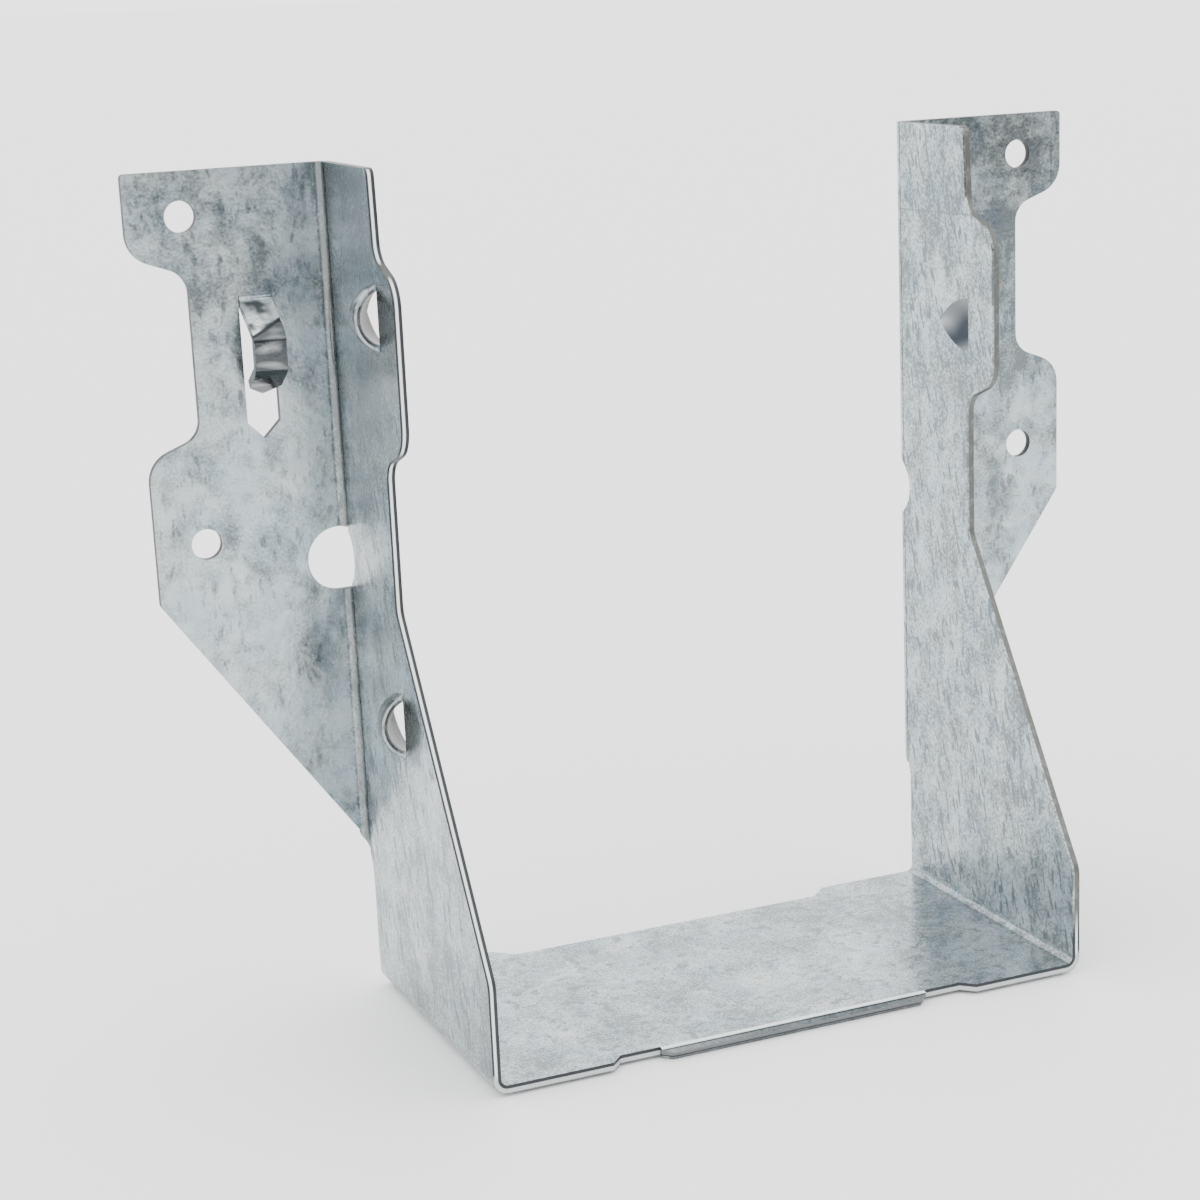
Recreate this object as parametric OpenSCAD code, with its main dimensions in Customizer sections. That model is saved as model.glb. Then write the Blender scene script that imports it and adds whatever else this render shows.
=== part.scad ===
// Face-mount joist hanger, folded from one steel sheet.
// A U-shaped stirrup carries the joist; two flanges turned outwards are nailed to the header.
// X runs across the joist, +Y points into the header, +Z is up.
// The origin is the centre of the seat's bearing face.

/* [Joist pocket] */
// Inside width between the two side panels
pocket_w = 90.5; // [76:0.5:120]
// Height of the side panels above the seat's bearing face
panel_h = 120.6; // [112:0.1:150]
// Distance from the header plane to the front edge of the seat
seat_depth = 50.8; // [46:0.1:64]

/* [Sheet] */
// Thickness of the sheet
sheet_t = 1.2; // [0.9:0.05:1.6]
// Inside radius of the folds
fold_r = 1.0; // [0.6:0.1:1.6]

/* [Side panels] */
// Depth of the panel at its top edge, from the header plane
top_depth = 21.0; // [19:0.1:23]
// Depth of the panel just above and below its nose
body_depth = 21.7; // [20:0.1:24]
// Depth of the nose that holds the upper nail dome
nose_depth = 29.1; // [27.5:0.1:31]
// Drop of the nose's upper shoulder below the top edge
nose_top_drop = 13.4; // [12:0.1:15]
// Drop of the nose's lower shoulder below the top edge
nose_end_drop = 38.6; // [36:0.1:42]
// Height where the panel starts to widen towards the seat
widen_z = 59.8; // [52:0.1:64]
// Height of the front corner, where the widening ends
front_corner_z = 14.6; // [8:0.1:22]
// Set-back of the panel's lower rear edge from the header plane
heel_gap = 3.2; // [2.9:0.1:5]

/* [Header flanges] */
// Width of the upper ear, from the panel's outer face
upper_ear_w = 28.4; // [27:0.1:32]
// Width of the lower ear, from the panel's outer face
lower_ear_w = 27.9; // [27:0.1:31]
// Width of the waist between the ears
waist_w = 20.2; // [18:0.1:22]
// Drop of the upper ear's lower shoulder below the top edge
upper_ear_drop = 12.8; // [11.5:0.1:14]
// Drop of the lower ear's upper shoulder below the top edge
lower_ear_drop = 38.3; // [34:0.1:42]
// Height of the lower ear's bottom corner
ear_corner_z = 60.2; // [54:0.1:64]
// Lean of the sloping edge below the lower ear, from the vertical
slope_angle = 35.4; // [33:0.2:38]
// Radius where the sloping edge runs into the panel's rear edge
heel_r = 5.0; // [2:0.5:5]

/* [Shoulders] */
// Fall of each shoulder across its step
shoulder_fall = 3.0; // [1.5:0.1:4]
// Radius of the outer corner of each shoulder
shoulder_r = 4.5; // [2:0.1:5]
// Radius of the inner corner of each shoulder
shoulder_fillet_r = 3.5; // [2:0.1:4]

/* [Nail holes] */
// Diameter of the header nail holes
nail_d = 4.4; // [4.1:0.1:4.8]
// Distance of the nail holes from the panel's outer face
nail_offset = 20.6; // [19.4:0.1:22]
// Drop of the upper nail holes below the top edge
upper_nail_drop = 6.2; // [5:0.1:7.5]
// Height of the lower nail holes above the lower ear's bottom corner
lower_nail_rise = 8.2; // [5:0.1:12]

/* [Fold hole] */
// Diameter of the hole on the fold, as pierced in the flat sheet
fold_hole_d = 9.4; // [7:0.1:11]
// Height of the hole's centre above the lower ear's bottom corner
fold_hole_rise = 3.8; // [0:0.1:8]
// Distance of the hole's centre from the panel's end of the fold, along the sheet
fold_hole_shift = 2.8; // [2.2:0.1:3.4]

/* [Prong] */
// Width of the slot in the flange
slot_w = 4.8; // [4:0.1:5.6]
// Distance of the slot's middle from the panel's outer face
slot_offset = 10.9; // [10:0.1:12]
// Drop of the prong's root, at the top of the slot, below the top edge
slot_top_drop = 17.6; // [17:0.1:20]
// Length of the slot from the root to the tip of its point
slot_len = 20.4; // [19:0.1:22]
// Gap between the prong and each side of the slot
prong_gap = 0.1; // [0.05:0.05:0.3]
// Length of the straight run that rises out of the flange
prong_rise = 6.0; // [5.5:0.1:6.6]
// Length of the straight run parallel to the flange
prong_crown = 2.9; // [2:0.1:3.8]
// Length of the pointed run that turns back towards the flange
prong_point = 6.0; // [5:0.1:6.4]
// Angle between the flange and the rising run
prong_rise_angle = 55; // [51:1:62]
// Angle between the flange and the pointed run
prong_return_angle = 58; // [50:1:62]

/* [Nail domes] */
// Length of each dome along the panel
dome_len = 9.5; // [8:0.1:12]
// Height of each dome's mouth where it meets the panel
dome_mouth = 9.2; // [8:0.1:10]
// Height of the dome above the panel's outer face
dome_rise = 3.4; // [2.6:0.1:4]
// Thickness of the stretched sheet in the domes
dome_t = 0.9; // [0.6:0.05:1.2]
// Distance of the mouths behind the header plane
dome_mouth_y = 22.4; // [18:0.1:24]
// Drop of the left panel's upper dome below the top edge
left_dome_drop = 19.8; // [17:0.1:23]
// Drop of the right panel's dome below the top edge
right_dome_drop = 29.0; // [25:0.1:31]
// Height of the left panel's lower dome above the seat
low_dome_z = 43.6; // [36:0.1:46]

/* [Seat] */
// Further set-back of the seat's rear edge between the corners
rear_recess = 2.9; // [1.5:0.1:5]
// Half-width of the recessed part of the rear edge
rear_recess_half = 28.6; // [24:0.1:32]
// Half-width of the lip at the front edge
lip_half = 21.0; // [14:0.1:24]
// Length of the straight part of the lip
lip_len = 1.1; // [0.8:0.1:1.4]
// Amount by which each end of the lip tapers towards its tip
lip_taper = 1.3; // [0:0.1:2]
// Angle by which the lip is bent down
lip_angle = 20; // [10:1:40]
// Width of the relief notch at each end of the lip
notch_w = 6.0; // [3:0.1:9]
// Depth of the relief notches
notch_depth = 1.8; // [1:0.1:3]
// Radius that breaks the sharp outer corners of the blank
corner_r = 1.2; // [0.3:0.1:2]

/* [Hidden] */
$fn = 96;

// Allowance by which cutting bodies stand past the sheet
over = 1;

half_w = pocket_w / 2;
outer_x = half_w + sheet_t;
outer_r = fold_r + sheet_t;
flange_x = half_w + outer_r;
heel_y = -heel_gap;
seat_mid = (seat_depth + heel_gap) / 2;
notch_y = -(seat_depth - notch_depth);

upper_nail_z = panel_h - upper_nail_drop;
lower_nail_z = ear_corner_z + lower_nail_rise;
fold_hole_z = ear_corner_z + fold_hole_rise;
slot_top_z = panel_h - slot_top_drop;
slot_x = outer_x + slot_offset;
prong_w = slot_w - 2 * prong_gap;

// The blank of one side is flat: U runs along the sheet from the panel's end of the upright fold
fold_len = PI / 2 * (fold_r + sheet_t / 2);
panel_u = outer_r;
flange_u = fold_len - flange_x;
heel_u = heel_y + panel_u;
lower_ear_u = outer_x + lower_ear_w + flange_u;
heel_z = ear_corner_z - (lower_ear_u - heel_u) / tan(slope_angle);

// Circle whose segment above the panel's outer face is the mouth of a dome
dome_r = (dome_rise * dome_rise + dome_mouth * dome_mouth / 4) / (2 * dome_rise);
dome_axis_x = outer_x + dome_rise - dome_r;

// Where a corner [x, y, r] is rounded: [its point, start of the arc, centre, end of the arc, radius, turn]
function rounding(before, corner, after) =
  let (
    p = [corner.x, corner.y],
    u = [before.x, before.y] - p,
    v = [after.x, after.y] - p,
    u1 = u / norm(u),
    v1 = v / norm(v),
    half = acos(max(-1, min(1, u1 * v1))) / 2,
    reach = min(corner.z / tan(half), norm(u) / 2, norm(v) / 2),
    r = reach * tan(half),
    bisector = (u1 + v1) / norm(u1 + v1)
  )
  [p, p + u1 * reach, p + bisector * r / sin(half), p + v1 * reach, r, u1.x * v1.y - u1.y * v1.x];

// What the arc trims from a corner that stands out
module sliver(c) {
  outward = (c[0] - c[2]) / norm(c[0] - c[2]);
  difference() {
    polygon([c[1], c[0] + outward * over / 2, c[3], c[2]]);
    translate(c[2]) circle(c[4]);
  }
}

// Outline through corners given anticlockwise as [x, y, radius]
module outline(corners) {
  n = len(corners);
  all = [for (i = [0:n - 1])
    rounding(corners[(i + n - 1) % n], corners[i], corners[(i + 1) % n])];
  difference() {
    polygon([for (c = all) each (c[4] > 0 && c[5] > 0 ? [c[1], c[2], c[3]] : [c[0]])]);
    for (c = all)
      if (c[4] > 0 && c[5] > 0) translate(c[2]) circle(c[4]);
    for (c = all)
      if (c[4] > 0 && c[5] < 0) sliver(c);
  }
}

// One side of the flat blank above the seat fold, in U and Z: panel on the left, flange on the right
module blank() {
  half_fall = shoulder_fall / 2;
  front_u = panel_u - seat_depth;
  top_u = panel_u - top_depth;
  body_u = panel_u - body_depth;
  nose_u = panel_u - nose_depth;
  nose_top_z = panel_h - nose_top_drop;
  nose_end_z = panel_h - nose_end_drop;
  upper_ear_u = outer_x + upper_ear_w + flange_u;
  waist_u = outer_x + waist_w + flange_u;
  waist_top_z = panel_h - upper_ear_drop;
  waist_end_z = panel_h - lower_ear_drop;
  nail_u = outer_x + nail_offset + flange_u;
  difference() {
    outline([
      [upper_ear_u, panel_h, corner_r / 2],
      [top_u, panel_h, corner_r],
      [body_u, nose_top_z + half_fall, shoulder_fillet_r],
      [nose_u, nose_top_z - half_fall, shoulder_r],
      [nose_u, nose_end_z + half_fall, shoulder_r],
      [body_u, nose_end_z - half_fall, shoulder_fillet_r],
      [body_u, widen_z, shoulder_fillet_r],
      [front_u, front_corner_z, shoulder_fillet_r],
      [front_u, fold_r, 0],
      [heel_u, fold_r, 0],
      [heel_u, heel_z, heel_r],
      [lower_ear_u, ear_corner_z, corner_r],
      [lower_ear_u, waist_end_z - half_fall, shoulder_r],
      [waist_u, waist_end_z + half_fall, shoulder_fillet_r],
      [waist_u, waist_top_z - half_fall, shoulder_fillet_r],
      [upper_ear_u, waist_top_z + half_fall, shoulder_r]
    ]);
    for (z = [upper_nail_z, lower_nail_z])
      translate([nail_u, z]) circle(d = nail_d);
    translate([slot_x + flange_u, slot_top_z - slot_len]) slot();
  }
}

// Slot that the prong is cut from, standing on its point
module slot() {
  w = slot_w / 2;
  polygon([[0, 0], [w, w], [w, slot_len], [-w, slot_len], [-w, w]]);
}

// Stands a profile drawn in Y and Z up on the panel, through the given range of X
module across(from, to) {
  translate([from, 0, 0])
    rotate([90, 0, 90])
      linear_extrude(to - from) children();
}

// Stands a profile drawn in X and Z up on the flange, through the given range of Y
module along(from, to) {
  translate([0, to, 0])
    rotate([90, 0, 0])
      linear_extrude(to - from) children();
}

// Turn of sheet about the Z axis, from the +X side towards the +Y side
module fold(angle, length) {
  rotate_extrude(angle = angle)
    translate([fold_r, 0])
      square([sheet_t, length]);
}

// Flat part of the side panel
module panel() {
  across(half_w, outer_x)
    translate([-panel_u, 0])
      intersection() {
        blank();
        translate([-seat_depth, 0]) square([seat_depth, panel_h + over]);
      }
}

// Flat part of the header flange
module flange() {
  along(-sheet_t, 0)
    translate([-flange_u, 0])
      intersection() {
        blank();
        translate([fold_len, 0]) square([panel_h, panel_h + over]);
      }
}

// Upright fold between panel and flange, its lower end cut in line with the sloping edge
module upright_fold() {
  mid_z = heel_z + (fold_len / 2 - heel_u) / tan(slope_angle);
  rise = outer_r / tan(slope_angle);
  translate([flange_x, -outer_r, 0])
    intersection() {
      rotate([0, 0, 90]) fold(90, panel_h);
      rotate([0, 0, -45])
        across(-outer_r - over, 0)
          polygon([
            [-outer_r, mid_z - rise],
            [outer_r, mid_z + rise],
            [outer_r, panel_h + over],
            [-outer_r, panel_h + over]
          ]);
    }
}

// Hole pierced across the upright fold
module fold_hole() {
  translate([fold_hole_shift - flange_u, -outer_r, fold_hole_z])
    rotate([-90, 0, 0])
      cylinder(d = fold_hole_d, h = outer_r + over);
  translate([half_w - over, fold_hole_shift - panel_u, fold_hole_z])
    rotate([0, 90, 0])
      cylinder(d = fold_hole_d, h = outer_r + over);
}

// Fold between panel and seat
module seat_fold() {
  translate([half_w - fold_r, heel_y, fold_r])
    rotate([90, 0, 0])
      rotate([0, 0, -90])
        fold(90, seat_depth - heel_gap);
}

// Corners of one face of the prong, in Y and Z, with its radii where it bends away and back
function prong_face(y, away_r, back_r) =
  let (
    a = away_r * tan(prong_rise_angle / 2),
    b = back_r * tan(prong_rise_angle / 2),
    c = back_r * tan(prong_return_angle / 2),
    away = [-sin(prong_rise_angle), -cos(prong_rise_angle)],
    back = [sin(prong_return_angle), -cos(prong_return_angle)],
    root = [y, slot_top_z - a],
    brow = root + (a + prong_rise + b) * away,
    chin = brow - [0, b + prong_crown + c],
    tip = chin + (c + prong_point) * back
  )
  [
    [y, slot_top_z + sheet_t, 0],
    [root.x, root.y, away_r],
    [brow.x, brow.y, back_r],
    [chin.x, chin.y, back_r],
    [tip.x, tip.y, 0]
  ];

// Prong: out of the flange, along it, and back towards its slot with a point
module prong() {
  front = prong_face(-sheet_t, fold_r, outer_r);
  rear = prong_face(0, outer_r, fold_r);
  tip = rear[4];
  w = prong_w / 2;
  far = w + over;
  translate([slot_x, 0, 0])
    difference() {
      across(-w, w) outline(concat(front, [for (i = [4:-1:0]) rear[i]]));
      translate([0, tip.x, tip.y])
        rotate([prong_return_angle, 0, 0])
          along(-sheet_t - over, over)
            polygon([[0, 0], [far, far], [far, -over], [-far, -over], [-far, far]]);
    }
}

// Pointed half-dome that opens towards the front, with its mouth at the origin and its tip at +Y
module ogive(radius, length) {
  arc_r = (length * length + radius * radius) / (2 * radius);
  rotate([-90, 0, 0])
    rotate_extrude()
      intersection() {
        translate([radius - arc_r, 0]) circle(arc_r, $fn = 360);
        square([radius, length]);
      }
}

// Outside of one nail dome, kept to the outer side of the panel
module dome_shell(z) {
  intersection() {
    translate([dome_axis_x, -dome_mouth_y, z]) ogive(dome_r, dome_len);
    translate([half_w + sheet_t / 2, -dome_mouth_y, z - dome_r - over])
      cube([dome_r + over + sheet_t, dome_len + over, 2 * (dome_r + over)]);
  }
}

// Hollow of one nail dome, opened through the panel
module dome_hollow(z) {
  translate([dome_axis_x, -dome_mouth_y, z])
    ogive(dome_r - dome_t, dome_len - sheet_t);
}

// One side of the hanger, on the +X side, with a nail dome at each listed height
module side(dome_heights) {
  difference() {
    union() {
      panel();
      upright_fold();
      flange();
      seat_fold();
      prong();
      for (z = dome_heights) dome_shell(z);
    }
    for (z = dome_heights) dome_hollow(z);
    fold_hole();
  }
}

// Flat seat with its recessed rear edge and the two relief notches at the front
module seat() {
  x = half_w - fold_r;
  rear_y = heel_y - rear_recess;
  notch_end = lip_half + notch_w;
  half = [
    [notch_end + notch_depth, -seat_depth],
    [x, -seat_depth],
    [x, heel_y],
    [rear_recess_half, heel_y],
    [rear_recess_half - rear_recess, rear_y]
  ];
  translate([0, 0, -sheet_t])
    linear_extrude(sheet_t)
      polygon(concat(
        [[notch_end, notch_y]],
        half,
        [for (i = [len(half) - 1:-1:0]) [-half[i].x, half[i].y]],
        [[-notch_end, notch_y]]
      ));
}

// Lip between the notches, bent down along the line of the notches
module lip() {
  tip_half = lip_half - lip_taper;
  translate([0, notch_y, -outer_r]) {
    rotate([90, 0, 90])
      rotate([0, 0, 90])
        rotate_extrude(angle = lip_angle)
          translate([fold_r, -lip_half])
            square([sheet_t, 2 * lip_half]);
    rotate([lip_angle, 0, 0])
      translate([0, 0, fold_r])
        linear_extrude(sheet_t)
          polygon([[-lip_half, 0], [-tip_half, -lip_len], [tip_half, -lip_len], [lip_half, 0]]);
  }
}

// The whole hanger
module hanger() {
  color("lightsteelblue")
    translate([0, seat_mid, 0])
      union() {
        seat();
        lip();
        side([panel_h - right_dome_drop]);
        mirror([1, 0, 0]) side([panel_h - left_dome_drop, low_dome_z]);
      }
}

hanger();
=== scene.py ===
"""Joist hanger in folded galvanised sheet steel, with its studio."""

import math
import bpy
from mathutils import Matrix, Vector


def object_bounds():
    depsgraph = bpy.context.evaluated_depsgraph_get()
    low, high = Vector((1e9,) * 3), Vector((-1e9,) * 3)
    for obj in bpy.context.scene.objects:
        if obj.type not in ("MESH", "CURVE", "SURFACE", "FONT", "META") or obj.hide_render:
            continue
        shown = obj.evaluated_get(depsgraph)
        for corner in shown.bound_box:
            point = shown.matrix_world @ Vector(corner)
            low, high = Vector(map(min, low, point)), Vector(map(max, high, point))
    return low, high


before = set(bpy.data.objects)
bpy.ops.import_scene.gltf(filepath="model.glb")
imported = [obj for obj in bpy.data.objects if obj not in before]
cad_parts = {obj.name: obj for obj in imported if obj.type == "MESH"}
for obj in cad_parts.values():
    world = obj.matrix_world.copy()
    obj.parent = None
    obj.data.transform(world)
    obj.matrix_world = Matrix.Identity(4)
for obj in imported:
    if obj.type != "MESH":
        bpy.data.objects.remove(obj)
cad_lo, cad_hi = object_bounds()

import types

import bpy
from mathutils import Matrix, Vector

bl_info = {
    "name": "Joist hanger",
    "version": (1, 0, 0),
    "blender": (4, 5, 0),
    "location": "View3D > Sidebar > Hanger",
    "description": "Finishes a folded sheet-steel joist hanger and sets its studio",
    "category": "Object",
}

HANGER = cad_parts["hanger"]
TOP = cad_hi.z
HEADER = cad_hi.y
FRONT = cad_lo.y
MM = 0.001

# Lip: its end, from the middle of the seat, and the line where it starts to bend
LIP_END = 21.0 * MM
LIP_BEND = FRONT + 1.8 * MM

# Nail domes: their mouths, from the header plane, their axis, from the panel's outer face,
# their length, half the width of their hollows, the rim of their mouths, and their heights
DOME_MOUTH = 22.4 * MM
DOME_AXIS = 1.41 * MM
DOME_LENGTH = 9.6 * MM
DOME_HALF = 4.2 * MM
RIM_INNER = 4.35 * MM
RIM_OUTER = 4.72 * MM
RIGHT_DOME = TOP - 29.0 * MM
LEFT_HIGH = TOP - 19.8 * MM
LEFT_LOW = 43.6 * MM

# Elbow of the prong: its height at the prong's middle, that middle, and its slant
ELBOW_HEIGHT = 97.8 * MM
PRONG_MIDDLE = 59.75 * MM
ELBOW_SLANT = 0.42

# Darker band across the flanges: its lower and upper edge
BAND_LOW = TOP - 18.0 * MM
BAND_HIGH = TOP - 14.5 * MM

# Marks of the press on the right panel: the height of the score, and the line of the scratch
SCORE_HEIGHT = TOP - 12.6 * MM
SCRATCH_LINE = HEADER - 18.9 * MM

# Floor: how far it reaches, and how far it comes forwards, in metres
FLOOR_REACH = 60.0
FLOOR_FORWARD = 1.0

# Card: its distance in metres, its direction, and its half sizes as shares of the distance
CARD_REACH = 6.0
CARD_TOWARDS = (0.55, -0.85, 0.0)
CARD_ACROSS = 1.2
CARD_UP = 0.52
CARD_WHITE = (0.95, 0.95, 0.95)

# Zinc, bright and dull, as factors on its colour; the tone between them holds the spangle and also
# painted shade and reflection
BRIGHT_ZINC = (1.42, 1.42, 1.42)
DULL_ZINC = (0.48, 0.50, 0.51)

# Steel that the press struck, folded or drew, with painted light and shade: the prong's lit and
# shaded runs and dark crease, shade in the folds and the domes' hollows, a lighter grey in the
# right hollow, and shade on the lip's slope and beside its bend
PRONG_SHADE = (0.07, 0.078, 0.082)
PRONG_HIGHLIGHT = (0.62, 0.64, 0.64)
PRONG_CREASE_SHADE = (0.03, 0.033, 0.036)
FOLD_SHADE = (0.155, 0.158, 0.152)
CORNER_SHADE = (0.07, 0.075, 0.078)
LEFT_HOLLOW_SHADE = (0.15, 0.155, 0.15)
RIGHT_HOLLOW_LIGHT = (0.50, 0.52, 0.53)
HOLLOW_CORE_SHADE = (0.02, 0.03, 0.045)
LIP_SLOPE_SHADE = (0.13, 0.135, 0.14)
LIP_SHADOW = (0.05, 0.055, 0.06)

# Steel of the sheared edges: torn steel with painted light and shade by which way each edge faces,
# painted olive shade on the right panel's front edge, and the burnish with its painted highlight
TORN_BACK_SHADE = (0.028, 0.03, 0.032)
TORN_FRONT_LIT = (0.05, 0.053, 0.058)
TORN_UPPER_LIT = (0.075, 0.08, 0.075)
TORN_LIP_LIT = (0.20, 0.21, 0.215)
OLIVE_SHADE = (0.125, 0.13, 0.12)
OLIVE_LIGHT = (0.30, 0.31, 0.30)
BURNISH_AND_HIGHLIGHT = (0.78, 0.80, 0.81)


class Socket:
    """One output in a shader, with arithmetic that adds Math nodes."""

    def __init__(self, tree, value):
        self.tree = tree
        self.value = value

    def math(self, operation, *others):
        return self.tree.node("ShaderNodeMath", {"operation": operation}, [self, *others])

    def __add__(self, other):
        return self.math("ADD", other)

    __radd__ = __add__

    def __sub__(self, other):
        return self.math("SUBTRACT", other)

    def __rsub__(self, other):
        return self.tree.node("ShaderNodeMath", {"operation": "SUBTRACT"}, [other, self])

    def __mul__(self, other):
        return self.math("MULTIPLY", other)

    __rmul__ = __mul__

    def __truediv__(self, other):
        return self.math("DIVIDE", other)

    def __neg__(self):
        return self.math("MULTIPLY", -1.0)

    def __pow__(self, other):
        return self.math("POWER", other)

    def absolute(self):
        return self.math("ABSOLUTE")

    def above(self, limit):
        """1 above the limit, 0 below it."""
        return self.math("GREATER_THAN", limit)

    def greatest(self, other):
        return self.math("MAXIMUM", other)

    def step(self, start, end):
        """0 below start, 1 above end, smooth between."""
        return self.tree.node(
            "ShaderNodeMapRange",
            {"interpolation_type": "SMOOTHSTEP"},
            {"Value": self, "From Min": start, "From Max": end},
        )

    def within(self, low, high, soft):
        """1 between low and high, with soft shoulders."""
        return self.step(low - soft, low + soft) * (1 - self.step(high - soft, high + soft))


class Finish:
    """A material under construction."""

    def __init__(self, name):
        self.material = bpy.data.materials.new(name)
        self.material.use_nodes = True
        self.nodes = self.material.node_tree.nodes
        self.links = self.material.node_tree.links
        self.nodes.clear()

    def node(self, kind, settings=None, inputs=None, output=0):
        """Any node: its settings, then the values or links of its sockets."""
        made = self.nodes.new(kind)
        for key, value in (settings or {}).items():
            setattr(made, key, value)
        pairs = inputs.items() if isinstance(inputs, dict) else enumerate(inputs or [])
        for key, value in pairs:
            socket = made.inputs[key]
            if isinstance(value, Socket):
                self.links.new(value.value, socket)
            elif socket.type == "RGBA":
                socket.default_value = (*value, 1.0)
            else:
                socket.default_value = value
        return Socket(self, made.outputs[output]) if len(made.outputs) else None

    def colour_mix(self, factor, a, b, blend="MIX"):
        """The colour b over the colour a; a Mix node's colours are its sockets 6 and 7."""
        settings = {"data_type": "RGBA", "blend_type": blend}
        return self.node("ShaderNodeMix", settings, {0: factor, 6: a, 7: b}, 2)

    def vector(self, operation, a, b):
        return self.node("ShaderNodeVectorMath", {"operation": operation}, [a, b])

    def split(self, vector):
        first = self.node("ShaderNodeSeparateXYZ", None, [vector])
        return [Socket(self, output) for output in first.value.node.outputs]

    def join(self, x, y, z):
        return self.node("ShaderNodeCombineXYZ", None, [x, y, z])

    def line(self, across, centre, half):
        """1 on a thin line, fading over its own width."""
        return 1 - (across - centre).absolute().step(half * 0.5, half * 1.5)

    def length(self, a, b):
        return (a * a + b * b) ** 0.5

    def noise(self, place, scale, detail, roughness, output=0):
        return self.node(
            "ShaderNodeTexNoise",
            None,
            {"Vector": place, "Scale": scale, "Detail": detail, "Roughness": roughness},
            output,
        )

    def surface(self, inputs):
        shader = self.node("ShaderNodeBsdfPrincipled", None, inputs)
        self.node("ShaderNodeOutputMaterial", None, {"Surface": shader})
        return self.material


def zones(f, sizes):
    """Place and normal of a point, and how far it is on each part of the folded sheet."""
    at = types.SimpleNamespace()
    at.place = f.node("ShaderNodeTexCoord", output="Object")
    at.x, at.y, at.z = f.split(at.place)
    at.nx, at.ny, at.nz = f.split(f.node("ShaderNodeNewGeometry", output="Normal"))
    at.side = at.x.absolute()
    at.right = at.x.above(0.0)
    at.outward = at.nx * at.x / at.side
    beside = sizes.pocket / 2 + sizes.sheet + 1.0 * MM
    proud = sizes.sheet + 0.2 * MM
    at.seat = 1 - at.z.step(0.4 * MM, 1.4 * MM)
    at.flange = at.side.step(beside, beside + 0.4 * MM) * at.y.step(0.0, 1.0 * MM)
    at.prong = at.flange * (HEADER - at.y).step(proud, proud + 0.6 * MM)
    short_of_end = 1 - at.side.step(LIP_END, LIP_END + 0.2 * MM)
    at.lip = short_of_end * (1 - at.y.step(LIP_BEND - 0.1 * MM, LIP_BEND))
    return at


def sheared_edges(f, at, sizes):
    """Where the sheet was cut through, and how deep a point lies there: 0 on the pocket's face."""
    t = sizes.sheet
    inner = sizes.pocket / 2
    tight, wide = sizes.fold, sizes.fold + t
    # Across the panels and the seat, round the fold between them
    u = (at.side - (inner - tight)).greatest(0.0)
    v = (tight - at.z).greatest(0.0)
    reach = f.length(u, v)
    low = (reach - tight) / t
    low_across = (at.outward * u - at.nz * v) / reach
    # Across the panels and the flanges, round the upright fold
    u = ((inner + wide) - at.side).greatest(0.0)
    v = (at.y - (HEADER - wide)).greatest(0.0)
    reach = f.length(u, v).greatest(1e-6)
    high = (wide - reach) / t
    high_across = (at.ny * v - at.outward * u) / reach

    cut = types.SimpleNamespace()
    cut.rear = at.y.step(HEADER - wide - 0.4 * MM, HEADER - wide - 0.1 * MM)
    cut.depth = low + cut.rear * (high - low)
    across = low_across + cut.rear * (high_across - low_across)
    inside = cut.depth.within(-0.02, 1.02, 0.03)
    cut.edge = inside * (1 - across.absolute().step(0.72, 0.86))
    # Edges facing forwards, for their painted light, and the right panel's edges above the seat,
    # for their painted olive shade
    cut.frontal = (-at.ny).step(0.35, 0.75) * (1 - cut.rear)
    cut.right = at.x.step(-1.0 * MM, 1.0 * MM) * at.z.step(4.0 * MM, 9.0 * MM)
    cut.olive = cut.right * cut.frontal
    return cut


def dome_marks(f, at, sizes):
    """Hollow of the nearest nail dome and its dark core of painted shade, its shell and mouth, and
    the painted shade on the panel ahead.
    """
    inner = sizes.pocket / 2
    outer = inner + sizes.sheet
    left = 1 - at.right
    upper = at.z.above((LEFT_HIGH + LEFT_LOW) / 2)
    height = LEFT_LOW * left + (LEFT_HIGH - LEFT_LOW) * left * upper + RIGHT_DOME * at.right
    across = at.side - (outer - DOME_AXIS)
    rise = at.z - height
    back = at.y - (HEADER - DOME_MOUTH)
    towards_axis = -(across * at.outward + rise * at.nz)

    dome = types.SimpleNamespace()
    through = 1 - at.side.step(outer - 0.15 * MM, outer - 0.03 * MM)
    wall = through.greatest(towards_axis.step(0.1 * MM, 0.6 * MM))
    wall = wall * (at.side - inner).step(0.02 * MM, 0.1 * MM)
    along = back.within(-0.05 * MM, DOME_LENGTH, 0.1 * MM)
    dome.hollow = along * (1 - rise.absolute().step(DOME_HALF, DOME_HALF + 0.3 * MM)) * wall
    from_core = f.length((rise + 1.3 * MM) / 1.15, back - 4.3 * MM)
    dome.core = (1 - from_core.step(0.8 * MM, 5.4 * MM)) * dome.hollow * at.right
    from_shade = f.length(rise / 1.5, back + 3.2 * MM)
    in_front = at.outward.step(0.2, 0.6) * (1 - back.step(-0.3 * MM, 0.1 * MM))
    dome.ahead = (1 - from_shade.step(2.2 * MM, 4.4 * MM)) * in_front
    on_panel = 1 - at.y.step(HEADER - 6.0 * MM, HEADER - 5.0 * MM)
    dome.shell = at.side.step(outer + 0.15 * MM, outer + 0.35 * MM) * on_panel
    rim = f.length(across, rise).within(RIM_INNER, RIM_OUTER, 0.08 * MM)
    dome.mouth = dome.shell * (-at.ny).step(0.5, 0.8) * rim
    return dome


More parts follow.
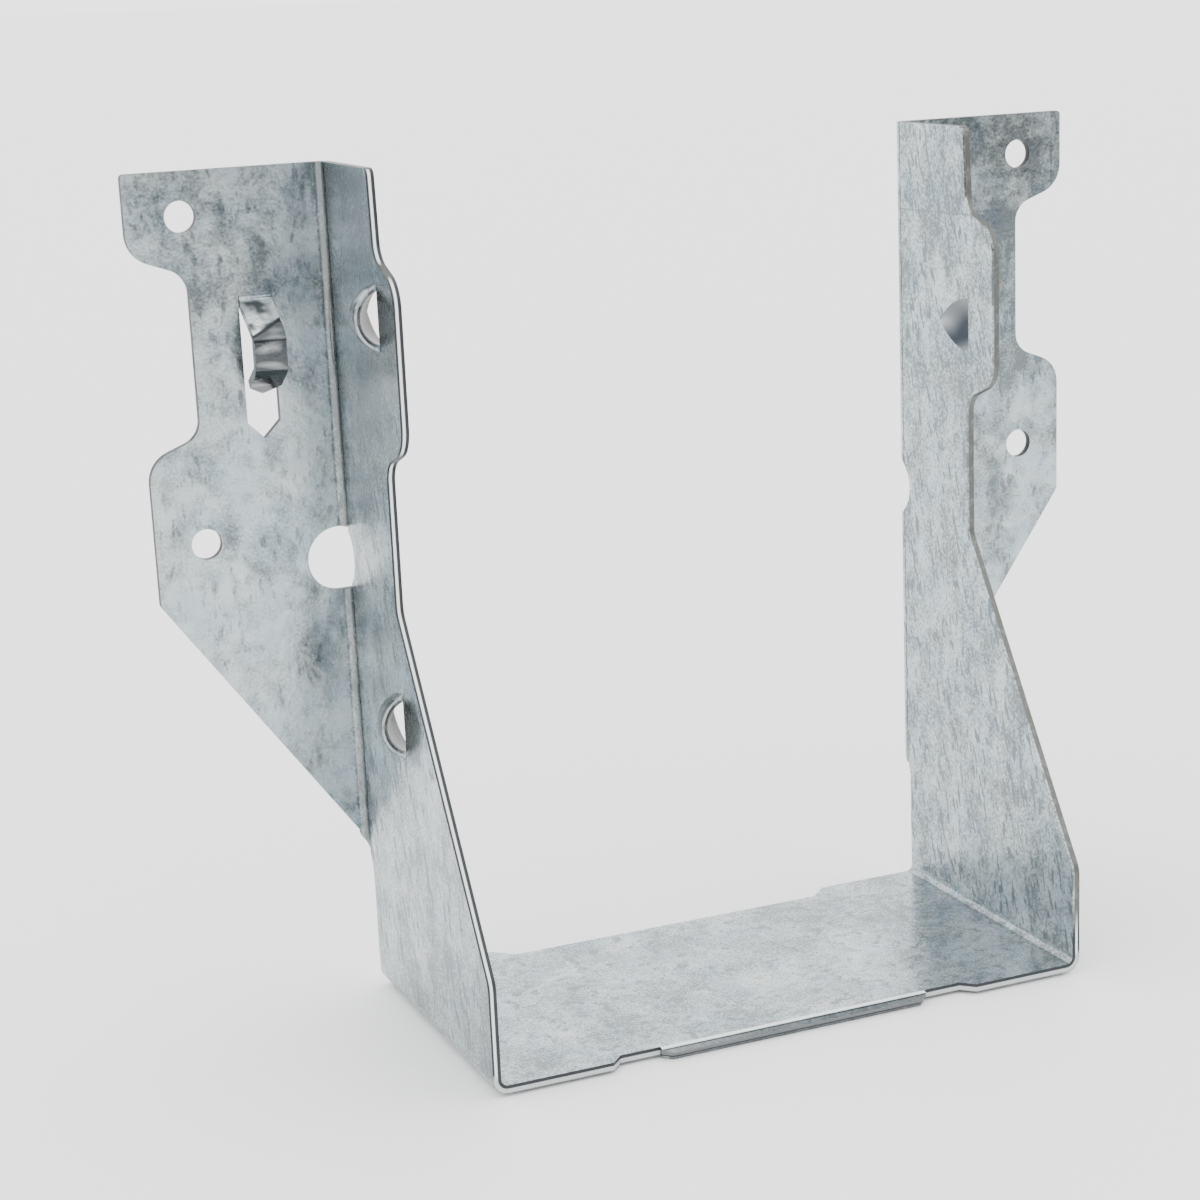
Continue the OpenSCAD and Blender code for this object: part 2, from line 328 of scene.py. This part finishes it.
def zinc_patterns(f, at):
    """Spangle, as it crystallised on the flat strip, and the short dashes and specks on it."""
    zinc = types.SimpleNamespace()
    size = 1 - at.seat * 0.35
    wander = f.noise(at.place, 260.0, 0.0, 0.5, "Color")
    strip = f.join(at.x * size, at.y * size, at.z * 0.70)
    shifted = f.vector("ADD", strip, f.vector("MULTIPLY", wander, (0.003, 0.003, 0.003)))
    zinc.clouds = f.noise(at.place, 70.0, 1.0, 0.5) - 0.5
    zinc.patches = f.noise(shifted, 210.0, 2.0, 0.5) - 0.5
    zinc.flecks = f.noise(shifted, 1000.0, 2.0, 0.6) - 0.5
    zinc.grain = f.noise(at.place, 2600.0, 0.0, 0.6) - 0.5
    zinc.dents = f.noise(at.place, 420.0, 1.0, 0.5) - 0.5
    moved = f.vector("ADD", at.place, (0.3, 0.1, 0.2))
    zinc.tint = f.noise(moved, 130.0, 2.0, 0.75) - 0.5
    # The dashes lean forwards as they run down the panels
    size = 1 - at.seat * 0.62
    lean = f.join(at.x * size, at.y * size - at.z * 0.27, at.z * 0.26)
    gaps = f.noise(at.place, 150.0, 1.0, 0.5).step(0.34, 0.56)
    zinc.dashes = f.noise(lean, 1150.0, 1.0, 0.5).step(0.57, 0.66) * gaps
    zinc.specks = f.noise(lean, 620.0, 0.0, 0.4).step(0.76, 0.82)
    return zinc


def zinc_tone(at, zinc, spangle):
    """How bright the zinc is, from dull at 0 to bright at 1, with painted reflection and shade by
    side and height.
    """
    high = at.z.step(TOP - 55.0 * MM, TOP - 20.0 * MM)
    crystals = (
        zinc.patches * (1.6 - at.seat * 0.4 + at.flange * 0.4)
        + zinc.flecks * (0.90 + at.seat * 0.35 - at.flange * 0.20)
        + zinc.dents * (0.5 + at.flange * 0.6)
    )
    fine = zinc.grain * (1.45 - at.flange * 0.6) + zinc.clouds * 0.85
    # Painted reflection and shade: the left flange lighter than the right, which darkens high up,
    # the seat a little darker, and the panels darker high up, the left one most
    flange = at.flange * (0.26 - at.right * (0.19 + 0.34 * high))
    panel = (1 - at.flange) * (0.05 + at.seat * 0.06 + high * (0.50 - 0.42 * at.right))
    dashes = zinc.dashes * (1.35 - at.flange * 0.95 - at.seat * 0.85)
    specks = zinc.specks * (0.60 - at.flange * 0.15 - at.seat * 0.35)
    band = at.flange * at.z.within(BAND_LOW, BAND_HIGH, 2.5 * MM) * (1 - at.prong) * 0.55
    return 0.56 + crystals * spangle + fine + flange - panel - dashes - specks - band


def press_marks(f, at, sizes):
    """Fine score and scratch that the press left on the inside of the right panel."""
    inner = sizes.pocket / 2
    before = at.x.step(inner - 0.3 * MM, inner)
    on_right = before * (1 - at.x.step(inner + 0.2 * MM, inner + 0.4 * MM))
    score = f.line(at.z + at.y * 0.02, SCORE_HEIGHT, 0.10 * MM)
    scratch = f.line(at.y - at.z * 0.03, SCRATCH_LINE, 0.09 * MM)
    scratch = scratch * at.z.within(TOP - 9.6 * MM, TOP - 3.0 * MM, 0.5 * MM)
    return (score * 0.45 + scratch * 0.70) * on_right


def zinc_colour(f, sizes, tone, tint):
    zinc = f.colour_mix(tint * 3.0 + 0.5, sizes.blue, sizes.warm)
    bright = f.colour_mix(1.0, zinc, BRIGHT_ZINC, "MULTIPLY")
    dull = f.colour_mix(1.0, zinc, DULL_ZINC, "MULTIPLY")
    return f.colour_mix(tone, dull, bright)


def lit_and_shaded_prong(f, at, dents):
    """Prong with a painted highlight on its rising run, painted shade on the runs below, and a
    dark painted shade line at the crease of its elbow.
    """
    crease = at.z + at.side * ELBOW_SLANT - (ELBOW_HEIGHT + PRONG_MIDDLE * ELBOW_SLANT)
    rising = crease.step(-0.1 * MM, 0.2 * MM)
    bands = f.noise(f.join(at.x * 0.25, at.y, at.z), 900.0, 0.0, 0.5) - 0.64
    glint = dents * 5.0 * rising + bands * 1.5 * (1 - rising) + rising * 0.78
    prong_light_and_shade = f.colour_mix(glint, PRONG_SHADE, PRONG_HIGHLIGHT)
    return f.colour_mix(f.line(crease, 0.0, 0.22 * MM), prong_light_and_shade, PRONG_CREASE_SHADE)


def shade_folds(f, at, sizes, steel):
    """Painted shade along the upright folds, and darker painted shade along the seat's folds but
    for their middle.
    """
    inner = sizes.pocket / 2
    outer = inner + sizes.sheet
    upright = at.side.within(outer + 0.05 * MM, outer + 1.0 * MM, 0.3 * MM)
    upright = upright * at.y.within(HEADER - 2.3 * MM, HEADER - 1.25 * MM, 0.3 * MM)
    steel = f.colour_mix(upright * 0.85, steel, FOLD_SHADE)
    corner = at.side.within(inner - 1.0 * MM, inner - 0.1 * MM, 0.2 * MM)
    corner = corner * at.z.within(0.05 * MM, 0.9 * MM, 0.2 * MM)
    middle = f.line(at.side - at.z, inner - (2 - math.sqrt(2)) * sizes.fold, 0.14 * MM)
    return f.colour_mix(corner * (1 - middle * 0.7) * 0.9, steel, CORNER_SHADE)


# Painted shade in the domes' hollows: dark grey on the left, a lighter grey on the right standing
# in for the panel's reflected light, and a dark core of painted shade
def shade_hollows(f, at, dome, steel):
    wall = f.colour_mix(at.right, LEFT_HOLLOW_SHADE, RIGHT_HOLLOW_LIGHT)
    steel = f.colour_mix(dome.hollow, steel, wall)
    return f.colour_mix(dome.core * 0.97, steel, HOLLOW_CORE_SHADE)


def lip_lines(at):
    """Painted highlight along the lip's bend, the painted shadow line before it, and painted shade
    on the slope.
    """
    forward = LIP_BEND - at.y
    level = at.lip * at.nz.step(0.5, 0.8)
    bend_highlight = forward.within(0.05 * MM, 0.72 * MM, 0.08 * MM) * level
    shadow = forward.within(0.78 * MM, 1.05 * MM, 0.08 * MM) * level
    slope_shade = forward.step(1.0 * MM, 1.1 * MM) * at.lip
    return bend_highlight, shadow, slope_shade


def torn_steel(f, at, cut, flecks):
    """Colour of the sheared edges where the sheet tore, with painted light and shade: darkest
    facing back, lighter facing forwards and up, painted olive shade on the right panel's front
    edge, and a lighter painted grey on the lip's cut edge.
    """
    torn = f.colour_mix(cut.frontal, TORN_BACK_SHADE, TORN_FRONT_LIT)
    torn = f.colour_mix(at.nz.step(0.6, 0.9) * (1 - cut.rear), torn, TORN_UPPER_LIT)
    torn = f.colour_mix(cut.olive, torn, OLIVE_SHADE)
    torn = f.colour_mix(flecks * 2.2 * cut.olive, torn, OLIVE_LIGHT)
    return f.colour_mix(at.lip * (1 - cut.depth.step(0.75, 0.95)), torn, TORN_LIP_LIT)


def burnish_highlight_band(at, cut):
    """Bright part of the front edges: where the blade burnished them, with a painted highlight,
    only where they face forwards.
    """
    panel = at.z.step(1.0 * MM, 2.0 * MM)
    band = cut.depth.within(0.42, 1.3, 0.05) * (1 - panel * cut.depth.step(0.70, 0.80))
    band = band * (1 - cut.depth.step(0.86, 0.98) * 0.6)
    return band * (1 - cut.right) * cut.frontal * (1 - at.lip) * (0.6 + panel * 0.4)


def galvanised(sizes):
    """Zinc-coated sheet: mottled grey spangle with short dashes, and bare sheared edges."""
    f = Finish("Galvanised sheet")
    at = zones(f, sizes)
    cut = sheared_edges(f, at, sizes)
    dome = dome_marks(f, at, sizes)
    zinc = zinc_patterns(f, at)
    bend_highlight, shadow, slope_shade = lip_lines(at)

    tone = zinc_tone(at, zinc, sizes.spangle) - press_marks(f, at, sizes)
    # Painted shade on the domes' outer shells and on the panel ahead of them
    tone = tone - dome.shell * 0.45 - dome.ahead * 0.75
    steel = zinc_colour(f, sizes, tone, zinc.tint)
    # Painted highlight and shade on the prong
    steel = f.colour_mix(at.prong, steel, lit_and_shaded_prong(f, at, zinc.dents))
    steel = shade_folds(f, at, sizes, steel)
    steel = shade_hollows(f, at, dome, steel)
    # Painted shade on the lip's slope, and its painted shadow line
    steel = f.colour_mix(slope_shade * 0.75, steel, LIP_SLOPE_SHADE)
    steel = f.colour_mix(shadow, steel, LIP_SHADOW)

    shorn = cut.edge * (1 - cut.olive * (1 - cut.depth.step(0.22, 0.34))) * (1 - dome.hollow)
    colour = f.colour_mix(shorn, steel, torn_steel(f, at, cut, zinc.flecks))
    # Painted highlights: the front edges' burnish, the lip's bend and the domes' mouths
    burnish_and_highlight = (burnish_highlight_band(at, cut) * shorn).greatest(bend_highlight).greatest(dome.mouth * 0.45)
    colour = f.colour_mix(burnish_and_highlight, colour, BURNISH_AND_HIGHLIGHT)

    uneven = zinc.flecks * 0.30 + zinc.clouds * 0.10
    rough = sizes.roughness + uneven + shorn * 0.20 + dome.core * 0.40 - at.prong * 0.10
    ripples = f.noise(at.place, 230.0, 1.0, 0.5) * 0.085
    height = ripples + f.noise(at.place, 1100.0, 1.0, 0.6) * 0.03
    bump = {"Strength": 0.8, "Distance": 1.0 * MM, "Height": height}
    return f.surface(
        {
            "Base Color": colour,
            # No metal under the painted highlights, and less in the hollows' painted shade
            "Metallic": (1 - burnish_and_highlight) * (1 - dome.hollow * 0.8),
            "Roughness": rough,
            "Normal": f.node("ShaderNodeBump", None, bump),
        }
    )


def plain(name, colour, roughness):
    return Finish(name).surface({"Base Color": colour, "Roughness": roughness})


def dress(obj, material):
    obj.data.materials.clear()
    obj.data.materials.append(material)


class HangerSheet(bpy.types.PropertyGroup):
    """The folded sheet and its zinc finish."""

    sheet: bpy.props.FloatProperty(
        name="Sheet", description="Thickness of the sheet", default=1.2 * MM,
        min=0.5 * MM, unit="LENGTH",
    )
    pocket: bpy.props.FloatProperty(
        name="Pocket", description="Inside width between the side panels",
        default=90.5 * MM, min=0.02, unit="LENGTH",
    )
    fold: bpy.props.FloatProperty(
        name="Fold", description="Inside radius of the folds", default=1.0 * MM,
        min=0.5 * MM, unit="LENGTH",
    )
    edge: bpy.props.FloatProperty(
        name="Edge", description="Width of the rounding on the sheared edges",
        default=0.12 * MM, min=0.0, unit="LENGTH",
    )
    warm: bpy.props.FloatVectorProperty(
        name="Warm zinc", description="Colour of the warmer patches of zinc",
        subtype="COLOR", size=3, default=(0.362, 0.392, 0.392), min=0.0, max=1.0,
    )
    blue: bpy.props.FloatVectorProperty(
        name="Blue zinc", description="Colour of the cooler patches of zinc",
        subtype="COLOR", size=3, default=(0.292, 0.350, 0.382), min=0.0, max=1.0,
    )
    roughness: bpy.props.FloatProperty(
        name="Roughness", description="Roughness of the zinc", default=0.26, min=0.0,
        max=1.0, subtype="FACTOR",
    )
    spangle: bpy.props.FloatProperty(
        name="Spangle", description="Strength of the zinc's crystals", default=1.0,
        min=0.0, max=3.0, subtype="FACTOR",
    )


class HangerStudio(bpy.types.PropertyGroup):
    """Floor, white surround, card and camera."""

    floor: bpy.props.FloatVectorProperty(
        name="Floor", description="Colour of the floor", subtype="COLOR", size=3,
        default=(0.93, 0.93, 0.93), min=0.0, max=1.0,
    )
    sky: bpy.props.FloatProperty(
        name="Surround", description="Brightness of the white surround", default=2.78,
        min=0.0,
    )
    dusk: bpy.props.FloatProperty(
        name="Card", description="Grey of the card's middle", default=0.12, min=0.0,
        max=1.0, subtype="FACTOR",
    )
    lens: bpy.props.FloatProperty(
        name="Lens", description="Focal length of the camera", default=77.99, min=10.0,
        unit="CAMERA",
    )
    distance: bpy.props.FloatProperty(
        name="Distance", description="From the camera to what it looks at",
        default=380.47 * MM, min=0.1, unit="LENGTH",
    )
    aim: bpy.props.FloatVectorProperty(
        name="Aim", description="What the camera looks at", size=3, unit="LENGTH",
        subtype="TRANSLATION", default=(-9.44 * MM, HEADER - 18.57 * MM, 47.44 * MM),
    )
    shift: bpy.props.FloatVectorProperty(
        name="Shift", description="Shift of the camera's frame, across and up", size=2,
        default=(-0.02828, 0.04801),
    )
    azimuth: bpy.props.FloatProperty(
        name="Azimuth", description="Camera's turn round the hanger",
        default=math.radians(-23.257), subtype="ANGLE",
    )
    elevation: bpy.props.FloatProperty(
        name="Elevation", description="Camera's height above the horizon",
        default=math.radians(14.781), subtype="ANGLE",
    )
    roll: bpy.props.FloatProperty(
        name="Roll", description="Camera's roll", default=math.radians(-2.378),
        subtype="ANGLE",
    )


class OBJECT_OT_hanger_sheet(bpy.types.Operator):
    """Finish the folded sheet"""

    bl_idname = "object.hanger_sheet"
    bl_label = "Folded sheet"

    def execute(self, context):
        sizes = context.scene.hanger_sheet
        dress(HANGER, galvanised(sizes))
        weld = HANGER.modifiers.new("Weld", "WELD")
        weld.merge_threshold = 0.002 * MM
        bevel = HANGER.modifiers.new("Sheared edges", "BEVEL")
        bevel.width = sizes.edge
        bevel.segments = 2
        bevel.limit_method = "ANGLE"
        bevel.angle_limit = math.radians(40)
        bevel.use_clamp_overlap = True
        bpy.ops.object.select_all(action="DESELECT")
        HANGER.select_set(True)
        context.view_layer.objects.active = HANGER
        bpy.ops.object.shade_smooth_by_angle(angle=math.radians(32))
        level = HANGER.modifiers.new("Flat faces", "WEIGHTED_NORMAL")
        level.weight = 100
        level.keep_sharp = True
        return {"FINISHED"}


def surround(studio):
    """Plain white room, whose even light is the only one."""
    world = bpy.data.worlds.new("White surround")
    world.use_nodes = True
    background = world.node_tree.nodes["Background"]
    background.inputs["Color"].default_value = (1.0, 1.0, 1.0, 1.0)
    background.inputs["Strength"].default_value = studio.sky
    return world


def flat(name, place, width, depth):
    """One rectangle."""
    bpy.ops.mesh.primitive_plane_add(size=1.0, location=place)
    made = bpy.context.object
    made.name = name
    bpy.ops.object.mode_set(mode="EDIT")
    bpy.ops.transform.resize(value=(width, depth, 1.0))
    bpy.ops.object.mode_set(mode="OBJECT")
    return made


def graded_card(studio):
    """White card with a dark middle, hidden from the camera, for the sheet to reflect."""
    away = Vector(CARD_TOWARDS) * CARD_REACH
    across, up = CARD_REACH * CARD_ACROSS, CARD_REACH * CARD_UP
    card = flat("Graded card", away, 2 * across, 2 * up)
    card.rotation_euler = (-away).to_track_quat("Z", "Y").to_euler()
    card.visible_camera = False
    f = Finish("Graded card")
    place = f.node("ShaderNodeTexCoord", output="Object")
    from_middle = f.vector("DIVIDE", place, (across, up, 1.0))
    dark = f.node("ShaderNodeTexGradient", {"gradient_type": "SPHERICAL"}, [from_middle], 1)
    shade = (studio.dusk, studio.dusk, studio.dusk)
    colour = f.colour_mix(dark.step(0.0, 0.75), CARD_WHITE, shade)
    dress(card, f.surface({"Base Color": colour, "Roughness": 1.0}))
    return card


def camera(studio):
    """Camera at its distance from the aim, turned by azimuth, elevation and roll."""
    a, e = studio.azimuth, studio.elevation
    away = Vector((math.sin(a) * math.cos(e), -math.cos(a) * math.cos(e), math.sin(e)))
    right = (-away).cross(Vector((0, 0, 1))).normalized()
    upright = Matrix((right, right.cross(-away), away)).transposed()
    turn = upright @ Matrix.Rotation(studio.roll, 3, "Z")
    data = bpy.data.cameras.new("Camera")
    made = bpy.data.objects.new("Camera", data)
    place = Vector(studio.aim) + away * studio.distance
    made.matrix_world = Matrix.Translation(place) @ turn.to_4x4()
    data.lens = studio.lens
    data.sensor_width = 36.0
    data.shift_x, data.shift_y = studio.shift
    data.clip_start = 0.01
    data.clip_end = 20.0
    bpy.context.scene.collection.objects.link(made)
    return made


class OBJECT_OT_hanger_studio(bpy.types.Operator):
    """Lay the floor, light the room, stand the card and set the camera"""

    bl_idname = "object.hanger_studio"
    bl_label = "Studio"

    def execute(self, context):
        studio = context.scene.hanger_studio
        bpy.ops.object.select_all(action="DESELECT")
        floor = flat(
            "Floor",
            (0, (FLOOR_REACH - FLOOR_FORWARD) / 2, cad_lo.z - 0.05 * MM),
            2 * FLOOR_REACH,
            FLOOR_REACH + FLOOR_FORWARD,
        )
        dress(floor, plain("Pale floor", studio.floor, 0.6))
        context.scene.world = surround(studio)
        graded_card(studio)
        context.scene.camera = camera(studio)
        return {"FINISHED"}


class VIEW3D_PT_hanger(bpy.types.Panel):
    """Sizes and steps of the joist hanger"""

    bl_label = "Joist hanger"
    bl_idname = "VIEW3D_PT_hanger"
    bl_space_type = "VIEW_3D"
    bl_region_type = "UI"
    bl_category = "Hanger"

    def draw(self, context):
        for group, operator in (
            (context.scene.hanger_sheet, "object.hanger_sheet"),
            (context.scene.hanger_studio, "object.hanger_studio"),
        ):
            box = self.layout.box()
            for key in group.bl_rna.properties.keys():
                if key not in {"rna_type", "name"}:
                    box.prop(group, key)
            box.operator(operator)


CLASSES = (
    HangerSheet,
    HangerStudio,
    OBJECT_OT_hanger_sheet,
    OBJECT_OT_hanger_studio,
    VIEW3D_PT_hanger,
)


def register():
    for made in CLASSES:
        bpy.utils.register_class(made)
    bpy.types.Scene.hanger_sheet = bpy.props.PointerProperty(type=HangerSheet)
    bpy.types.Scene.hanger_studio = bpy.props.PointerProperty(type=HangerStudio)


def unregister():
    del bpy.types.Scene.hanger_studio
    del bpy.types.Scene.hanger_sheet
    for made in reversed(CLASSES):
        bpy.utils.unregister_class(made)


def main():
    register()
    bpy.ops.object.hanger_sheet()
    bpy.ops.object.hanger_studio()


if __name__ == "__main__":
    main()
